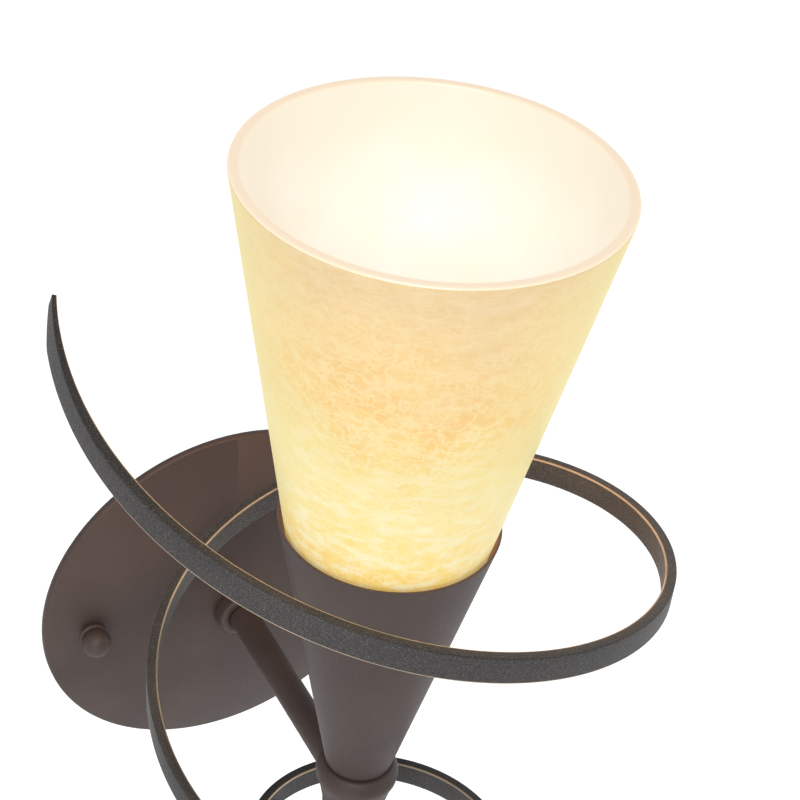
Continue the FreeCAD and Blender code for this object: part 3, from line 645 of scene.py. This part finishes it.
def paint_glass(piece):
    """Finish by direction: the ground rim and the foot look up or down, the inside looks towards
    the axis, and the rest is outside."""
    mesh = piece.data
    normals = np.empty(len(mesh.polygons) * 3, np.float32)
    centres = np.empty_like(normals)
    mesh.polygons.foreach_get("normal", normals)
    mesh.polygons.foreach_get("center", centres)
    normals, centres = normals.reshape(-1, 3), centres.reshape(-1, 3)
    outwards = centres[:, :2] - np.array([AXIS_X, AXIS_Y])
    facing = (normals[:, :2] * outwards).sum(1)
    index = np.where(facing < 0, 1, 0)
    index = np.where(np.abs(normals[:, 2]) > 0.45, 2, index)
    mesh.polygons.foreach_set("material_index", index.astype(np.int32))


shade = glass_cone()
stand_for(shade, "glass_shade", "shade", "alabaster_glass", glass_outside, glass_inside, glass_rim)
paint_glass(shade)
print("glass cone faces:", len(shade.data.polygons))

# %% [markdown]
# ## The spun cup, the hub and the stem
#
# The cup is thin sheet spun over a form, so its rim is a soft edge and its foot has a small bend.
# The hub below is turned: a crown, a shoulder, a waist and a foot.  The stem is a plain rod, and the
# ball under it is turned with a little tip.

# %% Cup, hub, stem and ball
CUP_WALL = 0.8 * MM
CUP_FOOT_R = 9.8 * MM
HUB_SHOULDER_Z = 10.5 * MM


def torch_cup():
    """Outer wall and inner wall of the spun cone, closed at the nipple's hole."""
    low, high = box_of("torch_cup")
    rim_r = 0.5 * float(high[0] - low[0])
    hole_r = 5.0 * MM
    outline = rounded([
        (hole_r, low[2], 0), (CUP_FOOT_R, low[2], 2.0 * MM), (rim_r, high[2], 0.38 * MM),
        (rim_r - CUP_WALL, high[2], 0.38 * MM), (CUP_FOOT_R - CUP_WALL, low[2] + CUP_WALL, 1.6 * MM),
        (hole_r, low[2] + CUP_WALL, 0)])
    return torch_turned("cup", outline, 224)


def hub():
    """Vase outline from the seat under the cup down to the stem."""
    foot_z, top_z = box_of("hub")[0][2], box_of("torch_cup")[0][2]
    shoulder_r = 12.3 * MM
    crown = arc_points((10.4 * MM, top_z), (shoulder_r - 0.55 * MM, HUB_SHOULDER_Z + 2.7 * MM),
                       (shoulder_r, HUB_SHOULDER_Z), 10)
    belly = arc_points((9.4 * MM, -1.0 * MM), (8.5 * MM, -8.0 * MM), (6.4 * MM, foot_z), 12)
    under = np.array([[shoulder_r - 0.25 * MM, HUB_SHOULDER_Z - 1.6 * MM],
                      [shoulder_r - 1.0 * MM, HUB_SHOULDER_Z - 3.0 * MM]])
    top = np.array([[0.0, top_z - 0.02 * MM], [9.6 * MM, top_z - 0.02 * MM]])
    foot = np.array([[5.9 * MM, foot_z], [0.0, foot_z]])
    outline = np.concatenate([top, crown, under, belly, foot])
    return torch_turned("hub_vase", outline, 160, closed=False)


def stem_rod():
    """Plain rod from the hub to the ball, with its ends eased."""
    low, high = box_of("stem")
    radius = 0.5 * float(high[0] - low[0])
    foot_z, top_z = box_of("bottom_finial")[1][2], box_of("hub")[0][2]
    outline = rounded([(0, top_z, 0), (radius, top_z, 0.3 * MM), (radius, foot_z, 0.3 * MM),
                       (0, foot_z, 0)], closed=False)
    return torch_turned("stem_rod", outline, 96, closed=False)


def bottom_ball():
    """Collar, neck, ball and tip."""
    low, high = box_of("bottom_finial")
    ball_r, neck_r, tip_r = 0.5 * float(high[0] - low[0]), 4.4 * MM, 2.0 * MM
    neck_z = high[2] - 3.0 * MM
    centre_z = neck_z - math.sqrt(ball_r ** 2 - neck_r ** 2)
    tip_z = centre_z - math.sqrt(ball_r ** 2 - tip_r ** 2)
    collar_r = 5.8 * MM
    collar = rounded([(0, high[2], 0), (collar_r, high[2], 0.35 * MM),
                      (collar_r, neck_z + 1.3 * MM, 0.35 * MM), (neck_r, neck_z, 0)], closed=False)
    ball = arc_points((neck_r, neck_z), (ball_r, centre_z), (tip_r, tip_z), 28)
    tip = arc_points((tip_r, tip_z), (tip_r * 0.86, tip_z - 1.2 * MM), (0.8 * MM, low[2]), 6)
    outline = np.concatenate([collar, ball, tip, [[0.0, low[2]]]])
    return torch_turned("bottom_ball", outline, 96, closed=False)


stand_for(torch_cup(), "torch_cup", "fixture", "bronze_paint", bronze_paint)
stand_for(hub(), "hub", "fixture", "bronze_paint", bronze_paint)
stand_for(stem_rod(), "stem", "fixture", "bronze_paint", bronze_paint)
stand_for(bottom_ball(), "bottom_finial", "fixture", "bronze_paint", bronze_paint)
print("turned pieces of the torch made")

# %% [markdown]
# ## The wall plate and the arm
#
# The plate is a shallow dome spun from sheet, with a straight lip against the wall.  Its outline is
# carried round a line square to the wall.  The two screw holes are cut afterwards, because a hole is
# round about its own centre and not about the plate's.

# %% Wall plate
CANOPY_WALL = 1.2 * MM
CANOPY_LIP = 2.0 * MM
CANOPY_FLAT_R = 10.0 * MM
NUT_X = 0.5 * float(sum(box_of("cap_nut_right")[k][0] for k in (0, 1)))


def dome_outline():
    """Outer arc from lip to flat, and the same arc set back by the sheet's thickness."""
    low, high = box_of("canopy")
    rim_r, front = 0.5 * float(high[0] - low[0]), float(low[1])
    back = float(high[1])
    span = rim_r ** 2 - CANOPY_FLAT_R ** 2
    mid_r = 0.5 * (rim_r + CANOPY_FLAT_R)
    mid_y = -(CANOPY_LIP + (-front - CANOPY_LIP) * (1 - (mid_r ** 2 - CANOPY_FLAT_R ** 2) / span))
    outer = arc_points((rim_r, back - CANOPY_LIP), (mid_r, mid_y), (CANOPY_FLAT_R, front), 48)
    soft = rounded([(rim_r, back, 0), (rim_r, back - CANOPY_LIP, 1.6 * MM),
                    tuple(outer[6]) + (0,)], closed=False)
    inner = arc_points((CANOPY_FLAT_R, front + CANOPY_WALL),
                       (mid_r - 0.5 * CANOPY_WALL, mid_y + CANOPY_WALL),
                       (rim_r - CANOPY_WALL, back - CANOPY_LIP + 0.4 * MM), 32)
    hole_r = 4.85 * MM
    middle = np.array([[hole_r, front], [hole_r, front + CANOPY_WALL]])
    end = np.array([[rim_r - CANOPY_WALL, back]])
    return np.concatenate([soft[:-1], outer[6:], middle, inner, end])


def cut_screw_holes(plate, radius):
    """Take two round holes out of the plate with a boolean, and keep the result."""
    cutters = []
    for side in (-1, 1):
        outline = np.array([[0, -0.02], [radius, -0.02], [radius, 0.002], [0, 0.002]])
        cutter = turned("cutter", outline, 48, False, "y", (side * NUT_X, 0.0))
        modifier = plate.modifiers.new("hole", "BOOLEAN")
        modifier.object = cutter
        modifier.solver = "EXACT"
        cutters.append(cutter)
    bpy.context.view_layer.update()
    evaluated = plate.evaluated_get(bpy.context.evaluated_depsgraph_get())
    mesh = bpy.data.meshes.new_from_object(evaluated)
    plate.modifiers.clear()
    plate.data = mesh
    for cutter in cutters:
        bpy.data.objects.remove(cutter)


plate = turned("wall_plate", dome_outline(), 224, True, "y", (0.0, 0.0))
cut_screw_holes(plate, 2.5 * MM)
stand_for(plate, "canopy", "fixture", "bronze_paint", bronze_paint)
print("wall plate faces:", len(plate.data.polygons))

# %% [markdown]
# The arm is a tube with a turned boss where it meets the plate.  The ball nuts are small turned
# pieces with a collar, a neck and a ball.

# %% Arm, boss and ball nuts
def arm():
    """Tube wall from behind the plate into the hub."""
    low, high = box_of("arm_tube")
    radius = 0.5 * float(high[0] - low[0])
    outline = rounded([(radius, low[1], 0.2 * MM), (radius, high[1], 0.2 * MM),
                       (radius - 1.0 * MM, high[1], 0.2 * MM), (radius - 1.0 * MM, low[1], 0.2 * MM)])
    return turned("arm", outline, 96, True, "y", (0.0, 0.0))


def boss():
    """Short collar with a quarter-round shoulder."""
    low, high = box_of("arm_boss")
    side_r, hole_r = 0.5 * float(high[0] - low[0]), 4.75 * MM
    back, front = float(high[1]), float(low[1])
    outline = rounded([(hole_r, back, 0), (side_r, back, 0.25 * MM), (side_r, front, 2.6 * MM),
                       (hole_r, front, 0)])
    return turned("arm_collar", outline, 112, True, "y", (0.0, 0.0))


def ball_nut(node, side):
    """Collar, neck and ball on a line square to the wall."""
    low, high = box_of(node)
    ball_r, neck_r, collar_r = 0.5 * float(high[0] - low[0]), 3.6 * MM, 4.4 * MM
    seat, neck_y = float(high[1]), float(high[1]) - 1.2 * MM
    centre_y = neck_y - math.sqrt(ball_r ** 2 - neck_r ** 2)
    bore_r, bore_y = 2.11 * MM, float(high[1]) - 5.8 * MM
    collar = rounded([(0, bore_y, 0), (bore_r, bore_y, 0), (bore_r, seat, 0.1 * MM),
                      (collar_r, seat, 0.25 * MM), (collar_r, seat - 0.8 * MM, 0.3 * MM),
                      (neck_r, neck_y, 0)], closed=False)
    ball = arc_points((neck_r, neck_y), (ball_r, centre_y), (0.0, centre_y - ball_r), 24)
    outline = np.concatenate([collar, ball[1:]])
    return turned("ball_" + node, outline, 72, False, "y", (side * NUT_X, 0.0))


stand_for(arm(), "arm_tube", "fixture", "bronze_paint", bronze_paint)
stand_for(boss(), "arm_boss", "fixture", "bronze_paint", bronze_paint)
stand_for(ball_nut("cap_nut_left", -1), "cap_nut_left", "cap_nut_left", "bronze_paint", bronze_paint)
stand_for(ball_nut("cap_nut_right", 1), "cap_nut_right", "cap_nut_right", "bronze_paint",
          bronze_paint)
print("arm, collar and ball nuts made")

# %% [markdown]
# ## The spiral bar
#
# A flat bar stands on edge and is bent round a tapering form.  Its middle line has a radius and a
# height for every part of a turn, and both run smoothly through six measured stations.  A cubic
# B-spline through the stations gives that line.  A rolled bar's section, with rounded corners, is
# then carried along it, kept upright with its flat side facing out.

# %% Spiral route
SPIRAL_START = math.radians(157.5)
STATIONS = np.array([      # turns from the tip, radius and height in mm
    (0.0, 90.7, 173.3), (0.5, 75.0, 101.7), (1.0, 61.7, 41.0),
    (1.5, 45.7, -18.5), (2.0, 28.0, -29.5), (2.5, 5.6, -38.0)])
BAR_FACE = 8.0 * MM
BAR_SIDE = 3.0 * MM


def basis(t, knots, degree=3):
    """B-spline weights by the Cox and de Boor rule, one row for each t."""
    t = np.clip(t, knots[0], knots[-1] - 1e-12)[:, None]
    weights = ((t >= knots[:-1]) & (t < knots[1:])).astype(float)
    for d in range(1, degree + 1):
        left_span = knots[d:-1] - knots[:-d - 1]
        right_span = knots[d + 1:] - knots[1:-d]
        left = np.divide(t - knots[:-d - 1], left_span, out=np.zeros((len(t), len(left_span))),
                         where=left_span > 0)
        right = np.divide(knots[d + 1:] - t, right_span, out=np.zeros((len(t), len(right_span))),
                          where=right_span > 0)
        weights = left * weights[:, :-1] + right * weights[:, 1:]
    return weights


def spiral_line(turns):
    """Middle line of the bar: radius and height through the stations, angle by the turns."""
    places = STATIONS[:, 0]
    knots = np.concatenate([[places[0]] * 4, places[2:-2], [places[-1]] * 4])
    poles = np.linalg.solve(basis(places, knots), STATIONS[:, 1:] * MM)
    radius, height = (basis(turns, knots) @ poles).T
    angle = SPIRAL_START + 2 * math.pi * turns
    return np.stack([AXIS_X + radius * np.cos(angle), AXIS_Y + radius * np.sin(angle), height], 1)


spiral_low, spiral_high = box_of("spiral_bar")
check_line = spiral_line(np.linspace(0, 2.5, 501))
print("middle line of the bar: z %.4f to %.4f, node z %.4f to %.4f" % (
    check_line[:, 2].min(), check_line[:, 2].max(), spiral_low[2], spiral_high[2]))

# %% [markdown]
# The free end was drawn down under the hammer: over the last part of a turn the bar gets thinner,
# and its lower edge swings outwards.  Then its lower corner was cut off on a slant.  One number,
# which falls from 1 at the tip to 0 where the full bar starts, steers the first two.  The outer
# lower corner and the inner upper corner get the attribute "edge", which carries a painted
# highlight along them.

# %% Spiral bar
SPIRAL_RINGS = 900
CORNER_R = 0.50 * MM
TIP_TURN = 0.003
TAPER_TURNS = 0.08
TIP_SIDE = 1.2 * MM
TIP_LEAN = math.radians(15.0)
TIP_SLANT = 9.0 * MM
TIP_BLUNT = 3.4 * MM


def bar_section():
    """Rounded rectangle: first coordinate outwards, second upwards."""
    x, y = BAR_SIDE / 2, BAR_FACE / 2
    return rounded([(x, -y, CORNER_R), (x, y, CORNER_R), (-x, y, CORNER_R), (-x, -y, CORNER_R)])


def carry(section, line, low_edge, taper):
    """Section carried along a line.  A point (a, b) of it goes to line + a' * out + b' * up.
    Out is level and square to the line, and both directions turn about it by taper * TIP_LEAN.
    a' is a made thinner by the taper, and b' is b with the lower edge lifted to low_edge."""
    along = np.gradient(line, axis=0)
    level = np.stack([along[:, 1], -along[:, 0], 0 * along[:, 0]], 1)
    level /= np.linalg.norm(level, axis=1)[:, None]
    lean = (taper * TIP_LEAN)[:, None]
    z = np.array([[0.0, 0.0, 1.0]])
    out = level * np.cos(lean) + z * np.sin(lean)
    up = z * np.cos(lean) - level * np.sin(lean)
    side = 1 - (1 - TIP_SIDE / BAR_SIDE) * taper
    half = BAR_FACE / 2
    share = (half - low_edge)[:, None] / BAR_FACE
    a = section[None, :, 0] * side[:, None]
    b = half - (half - section[None, :, 1]) * share
    return line[:, None, :] + a[:, :, None] * out[:, None, :] + b[:, :, None] * up[:, None, :]


def spiral_bar():
    """The whole bar, with its drawn down tip and its slanted end."""
    turns = TIP_TURN + (2.5 - TIP_TURN) * np.linspace(0, 1, SPIRAL_RINGS)
    line = spiral_line(turns)
    travelled = np.concatenate([[0], np.cumsum(np.linalg.norm(np.diff(line, axis=0), axis=1))])
    taper = np.clip(1 - (turns - TIP_TURN) / TAPER_TURNS, 0, 1)
    tip_low = BAR_FACE / 2 - TIP_BLUNT
    low_edge = np.clip(tip_low - travelled * (tip_low + BAR_FACE / 2) / TIP_SLANT,
                       -BAR_FACE / 2, None)
    section = bar_section()
    piece = surface("spiral", carry(section, line, low_edge, taper), caps=True)
    # the outer lower and inner upper corners carry the painted highlight
    flat = np.abs(np.abs(section[:, 0]) - BAR_SIDE / 2) < 0.01 * MM
    level = np.abs(np.abs(section[:, 1]) - BAR_FACE / 2) < 0.01 * MM
    opposite = section[:, 0] * section[:, 1] < 0
    corner = np.where(flat | level | ~opposite, 0.0, 1.0)
    mark = piece.data.attributes.new("edge", "FLOAT", "POINT")
    mark.data.foreach_set("value", np.tile(corner, SPIRAL_RINGS).astype(np.float32))
    print("points on the rubbed corners:", int(corner.sum()) * SPIRAL_RINGS)
    return piece


spiral = spiral_bar()
stand_for(spiral, "spiral_bar", "fixture", "forged_iron", iron_paint)
print("spiral faces:", len(spiral.data.polygons))

# %% [markdown]
# ## The brace
#
# A round rod props the level turn of the bar from the stem.  It is a straight tube of points between
# the two welds.

# %% Brace
BRACE_R = 2.0 * MM
BRACE_TURN = 1.86


def brace():
    """Cylinder from inside the bar's lower edge to inside the stem."""
    place = spiral_line(np.array([BRACE_TURN]))[0]
    start = place - np.array([0, 0, BAR_FACE / 2 - 1.0 * MM])
    inward = np.array([AXIS_X - place[0], AXIS_Y - place[1], 0])
    inward /= np.linalg.norm(inward)
    foot_z = box_of("bottom_finial")[1][2] + 4.0 * MM
    end = np.array([AXIS_X, AXIS_Y, foot_z]) - inward * 4.0 * MM
    along = (end - start) / np.linalg.norm(end - start)
    side = np.cross(along, [0, 0, 1.0])
    side /= np.linalg.norm(side)
    other = np.cross(side, along)
    a = np.linspace(0, 2 * math.pi, 40, endpoint=False)[None, :, None]
    t = np.linspace(0, 1, 12)[:, None, None]
    grid = start + (end - start) * t + BRACE_R * (np.cos(a) * side + np.sin(a) * other)
    return surface("brace", grid, caps=True)


stand_for(brace(), "spiral_brace", "fixture", "forged_iron", iron_paint)
print("brace made")

# %% [markdown]
# ## The lamp
#
# The bulb is a candle shape.  It is lit, so its glass is shown glowing, and the filament inside
# can't be seen through it.  From most sides the cone hides it.

# %% Lamp bulb
def from_belly(belly_r, belly_z, end_r, end_z, steps=24):
    """Arc that leaves the belly upright.  Its radius is (drop^2 + rise^2) / (2 * drop)."""
    drop, rise = belly_r - end_r, end_z - belly_z
    bend = (drop ** 2 + rise ** 2) / (2 * drop)
    a = np.linspace(0, math.asin(rise / bend), steps + 1)
    return np.stack([belly_r - bend * (1 - np.cos(a)), belly_z + bend * np.sin(a)], 1)


def bulb():
    """Candle outline: neck, belly and tip as arcs that meet without a corner at the belly."""
    low, high = box_of("lamp_envelope")
    belly_r, belly_z = 0.5 * float(high[0] - low[0]), 120 * MM
    lower = from_belly(belly_r, belly_z, 5.4 * MM, float(low[2]))[::-1]
    upper = from_belly(belly_r, belly_z, 2.4 * MM, float(high[2]) - 2.6 * MM)
    tip = arc_points((2.4 * MM, high[2] - 2.6 * MM), (1.6 * MM, high[2] - 0.8 * MM),
                     (0.0, high[2]), 8)
    outline = np.concatenate([[[0.0, low[2]]], lower, upper[1:], tip[1:]])
    return torch_turned("bulb", outline, 96, closed=False)


stand_for(bulb(), "lamp_envelope", "lamp", "lamp_glass", bulb_glass)
print("bulb made")

# %% [markdown]
# ## Floor and light
#
# A pale floor lies well below.  The room is white, with two soft lamps on the left and a faint one
# on the right.  The light's own lamp is a small warm point inside the cone.  A second warm point
# stands for the light that the cone lets through, which the glass shader doesn't carry by itself.

# %% Floor
FLOOR_Z = -0.42
FLOOR_HALF = 8.0
FLOOR_GLOW = 0.38


def floor():
    """Square of white paper that glows a little, which keeps it nearly as light as the room."""
    corners = np.array([(-1, -1), (1, -1), (1, 1), (-1, 1)]) * FLOOR_HALF
    mesh = bpy.data.meshes.new("floor")
    mesh.from_pydata([(x, y, FLOOR_Z) for x, y in corners], [], [(0, 1, 2, 3)])
    material, _, shader = new_material("floor_paper")
    shader.inputs["Base Color"].default_value = screen(250, 250, 250)
    shader.inputs["Roughness"].default_value = 0.9
    shader.inputs["Emission Color"].default_value = (1, 1, 1, 1)
    shader.inputs["Emission Strength"].default_value = FLOOR_GLOW
    mesh.materials.append(material)
    piece = bpy.data.objects.new("floor", mesh)
    bpy.context.scene.collection.objects.link(piece)
    return piece


floor()


# %% Lights
CEILING = 0.50
THROUGH_POWER = 1.1
THROUGH_COLOUR = (1.0, 0.62, 0.34)
THROUGH_Z = 0.150
LAMP_GLOW_Z = 0.180
MIDDLE = (0.0, -0.1, 0.08)


def soft_light(name, place, target, size, power, colour=(1.0, 1.0, 1.0)):
    """Square area light that looks at a point."""
    data = bpy.data.lights.new(name, "AREA")
    data.shape = "SQUARE"
    data.size = size
    data.energy = power
    data.color = colour
    light = bpy.data.objects.new(name, data)
    direction = Vector(target) - Vector(place)
    light.matrix_world = (Matrix.Translation(Vector(place))
                          @ direction.to_track_quat("-Z", "Y").to_matrix().to_4x4())
    bpy.context.scene.collection.objects.link(light)
    return light


def lamp_light(name, height, power, radius, colour):
    """Round warm light on the torch's axis."""
    data = bpy.data.lights.new(name, "POINT")
    data.energy = power
    data.shadow_soft_size = radius
    data.color = colour
    light = bpy.data.objects.new(name, data)
    light.location = (AXIS_X, AXIS_Y, height)
    light.visible_camera = False
    bpy.context.scene.collection.objects.link(light)
    return light


def through_the_glass():
    """The light that the cone lets through.  It falls on the painted metal only, and only the
    painted metal casts shadows in it, so the glass itself isn't lit twice."""
    light = lamp_light("through_the_glass", THROUGH_Z, THROUGH_POWER, 0.03, THROUGH_COLOUR)
    metal = bpy.data.collections.new("painted_metal")
    for piece in bpy.context.scene.objects:
        if piece.type == "MESH" and piece.data.materials and piece.data.materials[0] in (
                bronze_paint, iron_paint):
            metal.objects.link(piece)
    light.light_linking.receiver_collection = metal
    light.light_linking.blocker_collection = metal
    return len(metal.objects)


def white_room():
    """White surroundings that grow dimmer towards the ceiling."""
    world = bpy.data.worlds.new("room")
    world.use_nodes = True
    tree = Tree(world.node_tree)
    looking = tree.add("ShaderNodeTexCoord").outputs["Generated"]
    up = tree.add("ShaderNodeSeparateXYZ", {"Vector": looking}).outputs["Z"]
    white, grey = (1.0, 1.0, 1.0, 1.0), (CEILING, CEILING, CEILING, 1.0)
    colour = tree.ramp(up, [(0.06, white), (0.75, grey)])
    world.node_tree.links.new(colour, world.node_tree.nodes["Background"].inputs["Color"])
    bpy.context.scene.world = world


white_room()
soft_light("left_softbox", (-0.42, -0.68, 0.72), (-0.03, -0.05, 0.0), 0.45, 7.5)
soft_light("low_softbox", (-0.60, -0.80, -0.1), (-0.05, -0.02, 0.0), 0.4, 1.8)
soft_light("right_softbox", (0.9, -0.45, 0.25), MIDDLE, 0.5, 1.5)
lamp_light("lamp_glow", LAMP_GLOW_Z, 0.03, 0.010, (1.0, 0.93, 0.82))
print("pieces lit through the glass:", through_the_glass())
